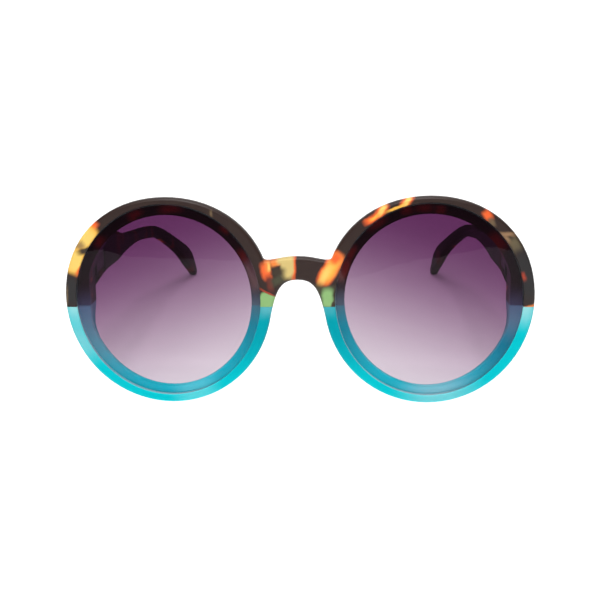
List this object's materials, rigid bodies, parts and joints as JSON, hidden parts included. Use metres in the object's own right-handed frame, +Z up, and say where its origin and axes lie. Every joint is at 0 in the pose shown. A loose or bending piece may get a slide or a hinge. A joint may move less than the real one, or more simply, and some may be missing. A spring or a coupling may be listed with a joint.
{
  "type": "sunglasses",
  "caption": "Oversize round sunglasses with a two-colour laminated acetate front, gradient tinted lenses in rabbeted rims and folding temples on barrel hinges",
  "frame": {"origin": "centre of the overall bounding box's underside, on the surface that the rims and the temple tips rest on", "axes": "+X runs across the face to the viewer's right, +Y from the lenses back towards the temple tips, +Z up from the surface"},
  "size_m": [0.145, 0.1408, 0.0657],
  "materials": {
    "tortoise_acetate": "dark tortoiseshell sheet acetate with amber patches, satin matte",
    "turquoise_acetate": "translucent turquoise sheet acetate, satin matte",
    "tinted_lens": "polished plastic lens with a violet tint that fades towards the bottom",
    "hinge_metal": "dark gunmetal plating, tumbled",
    "core_wire_metal": "drawn nickel silver wire"
  },
  "bodies": {
    "front": {"front_upper": "tortoise_acetate", "front_lower_left": "turquoise_acetate", "front_lower_right": "turquoise_acetate", "nose_pad_left": "turquoise_acetate", "nose_pad_right": "turquoise_acetate", "lens_left": "tinted_lens", "lens_right": "tinted_lens", "front_hinge_left": "hinge_metal", "front_hinge_right": "hinge_metal", "hinge_screw_left": "hinge_metal", "hinge_screw_right": "hinge_metal"},
    "left_arm": {"temple_left": "tortoise_acetate", "temple_hinge_left": "hinge_metal", "core_wire_left": "core_wire_metal"},
    "right_arm": {"temple_right": "tortoise_acetate", "temple_hinge_right": "hinge_metal", "core_wire_right": "core_wire_metal"}
  },
  "joints": [
    {"name": "right_fold", "type": "hinge", "parent": "front", "child": "right_arm", "pos_m": [0.0658, -0.05726, 0.04199], "axis": [0, 0.0546, 0.9985], "range_deg": [0, 85]},
    {"name": "left_fold", "type": "hinge", "parent": "front", "child": "left_arm", "pos_m": [-0.0658, -0.05726, 0.04199], "axis": [0, -0.0546, -0.9985], "range_deg": [0, 75]}
  ]
}
